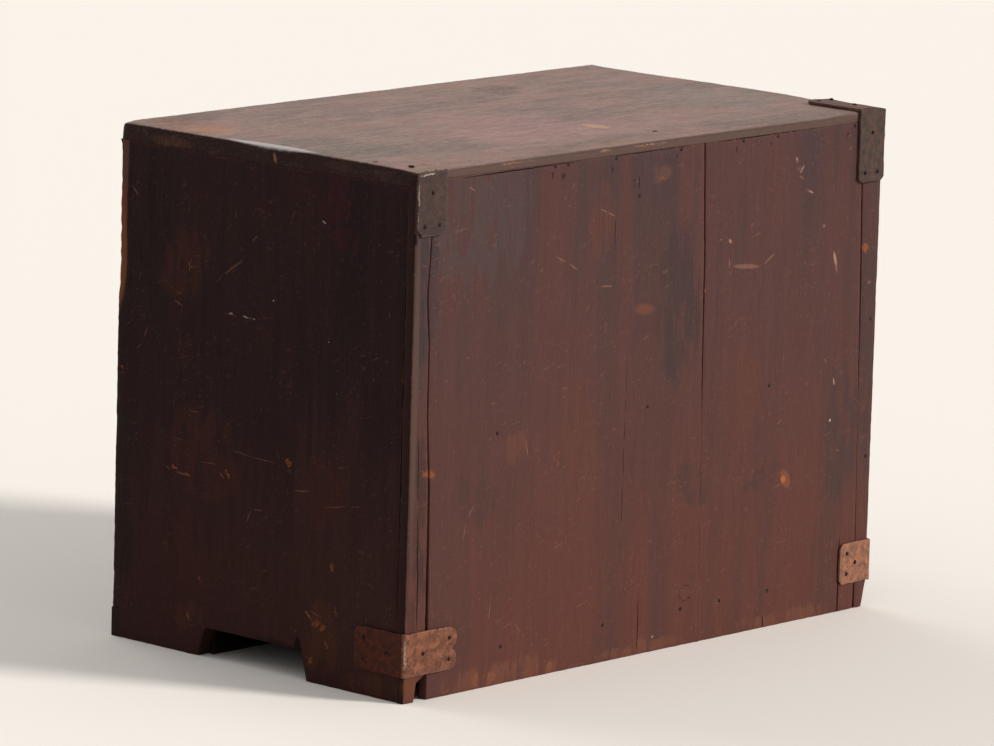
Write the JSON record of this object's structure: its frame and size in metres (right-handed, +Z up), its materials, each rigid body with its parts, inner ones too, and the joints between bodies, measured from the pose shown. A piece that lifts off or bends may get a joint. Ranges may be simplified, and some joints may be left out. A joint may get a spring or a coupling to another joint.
{
  "type": "small tansu chest",
  "caption": "Small nailed wooden tansu with inset drawers behind a plain case, iron corner straps, bail pulls and feet left by a sawn notch in each side.",
  "frame": {"origin": "on the floor, under the middle of the whole object", "axes": "+X to the right seen from the drawer side, +Y from the drawer fronts to the back boards, +Z up"},
  "size_m": [0.53, 0.3154, 0.395],
  "materials": {
    "case_wood": "worn dark softwood with most of its lacquer gone",
    "back_wood": "dry reddish brown softwood, scuffed",
    "inner_wood": "bare softwood, aged",
    "front_wood": "dark rubbed lacquer on softwood",
    "drawer_wood": "bare pale softwood",
    "peg_wood": "bare split hardwood",
    "strap_iron": "rusted wrought iron",
    "nail_iron": "dark wrought iron",
    "pull_iron": "dark wrought iron, rubbed"
  },
  "bodies": {
    "case": {"top_board": "case_wood", "side_board_right": "case_wood", "side_board_left": "case_wood", "bottom_board": "inner_wood", "middle_shelf": "case_wood", "upper_shelf": "case_wood", "top_divider": "case_wood", "plinth_rail": "case_wood", "foot_batten": "inner_wood", "back_strip_right": "back_wood", "back_board_wide": "back_wood", "back_board_narrow": "back_wood", "back_strip_left": "back_wood", "strap_low_right": "strap_iron", "strap_low_left": "strap_iron", "strap_top_left": "strap_iron", "strap_top_right": "strap_iron", "back_nails": "nail_iron", "strap_nails": "nail_iron", "top_nails": "nail_iron"},
    "drawer_low": {"low_front": "front_wood", "low_side_left": "drawer_wood", "low_side_right": "drawer_wood", "low_back": "drawer_wood", "low_bottom": "drawer_wood", "low_pegs": "peg_wood", "low_posts": "pull_iron", "low_washers": "pull_iron"},
    "low_bail_left": {"low_bail_left": "pull_iron"},
    "low_bail_right": {"low_bail_right": "pull_iron"},
    "drawer_middle": {"middle_front": "front_wood", "middle_side_left": "drawer_wood", "middle_side_right": "drawer_wood", "middle_back": "drawer_wood", "middle_bottom": "drawer_wood", "middle_pegs": "peg_wood", "middle_posts": "pull_iron", "middle_washers": "pull_iron"},
    "middle_bail_left": {"middle_bail_left": "pull_iron"},
    "middle_bail_right": {"middle_bail_right": "pull_iron"},
    "drawer_top_left": {"top_left_front": "front_wood", "top_left_side_left": "drawer_wood", "top_left_side_right": "drawer_wood", "top_left_back": "drawer_wood", "top_left_bottom": "drawer_wood", "top_left_pegs": "peg_wood", "top_left_posts": "pull_iron", "top_left_washers": "pull_iron"},
    "top_left_bail": {"top_left_bail": "pull_iron"},
    "drawer_top_right": {"top_right_front": "front_wood", "top_right_side_left": "drawer_wood", "top_right_side_right": "drawer_wood", "top_right_back": "drawer_wood", "top_right_bottom": "drawer_wood", "top_right_pegs": "peg_wood", "top_right_posts": "pull_iron", "top_right_washers": "pull_iron"},
    "top_right_bail": {"top_right_bail": "pull_iron"}
  },
  "joints": [
    {"name": "low_drawer_slide", "type": "slide", "parent": "case", "child": "drawer_low", "axis": [0, -1, 0], "range_m": [0, 0.24]},
    {"name": "low_bail_left_hinge", "type": "hinge", "parent": "drawer_low", "child": "low_bail_left", "pos_m": [-0.1242, -0.15386, 0.1168], "axis": [-1, 0, 0], "range_deg": [-4, 176]},
    {"name": "low_bail_right_hinge", "type": "hinge", "parent": "drawer_low", "child": "low_bail_right", "pos_m": [0.1242, -0.15386, 0.1168], "axis": [-1, 0, 0], "range_deg": [-4, 176]},
    {"name": "middle_drawer_slide", "type": "slide", "parent": "case", "child": "drawer_middle", "axis": [0, -1, 0], "range_m": [0, 0.24]},
    {"name": "middle_bail_left_hinge", "type": "hinge", "parent": "drawer_middle", "child": "middle_bail_left", "pos_m": [-0.1242, -0.15386, 0.24655], "axis": [-1, 0, 0], "range_deg": [-4, 176]},
    {"name": "middle_bail_right_hinge", "type": "hinge", "parent": "drawer_middle", "child": "middle_bail_right", "pos_m": [0.1242, -0.15386, 0.24655], "axis": [-1, 0, 0], "range_deg": [-4, 176]},
    {"name": "top_left_drawer_slide", "type": "slide", "parent": "case", "child": "drawer_top_left", "axis": [0, -1, 0], "range_m": [0, 0.24]},
    {"name": "top_left_bail_hinge", "type": "hinge", "parent": "drawer_top_left", "child": "top_left_bail", "pos_m": [-0.1175, -0.15386, 0.34355], "axis": [-1, 0, 0], "range_deg": [-4, 176]},
    {"name": "top_right_drawer_slide", "type": "slide", "parent": "case", "child": "drawer_top_right", "axis": [0, -1, 0], "range_m": [0, 0.24]},
    {"name": "top_right_bail_hinge", "type": "hinge", "parent": "drawer_top_right", "child": "top_right_bail", "pos_m": [0.1375, -0.15386, 0.34355], "axis": [-1, 0, 0], "range_deg": [-4, 176]}
  ]
}
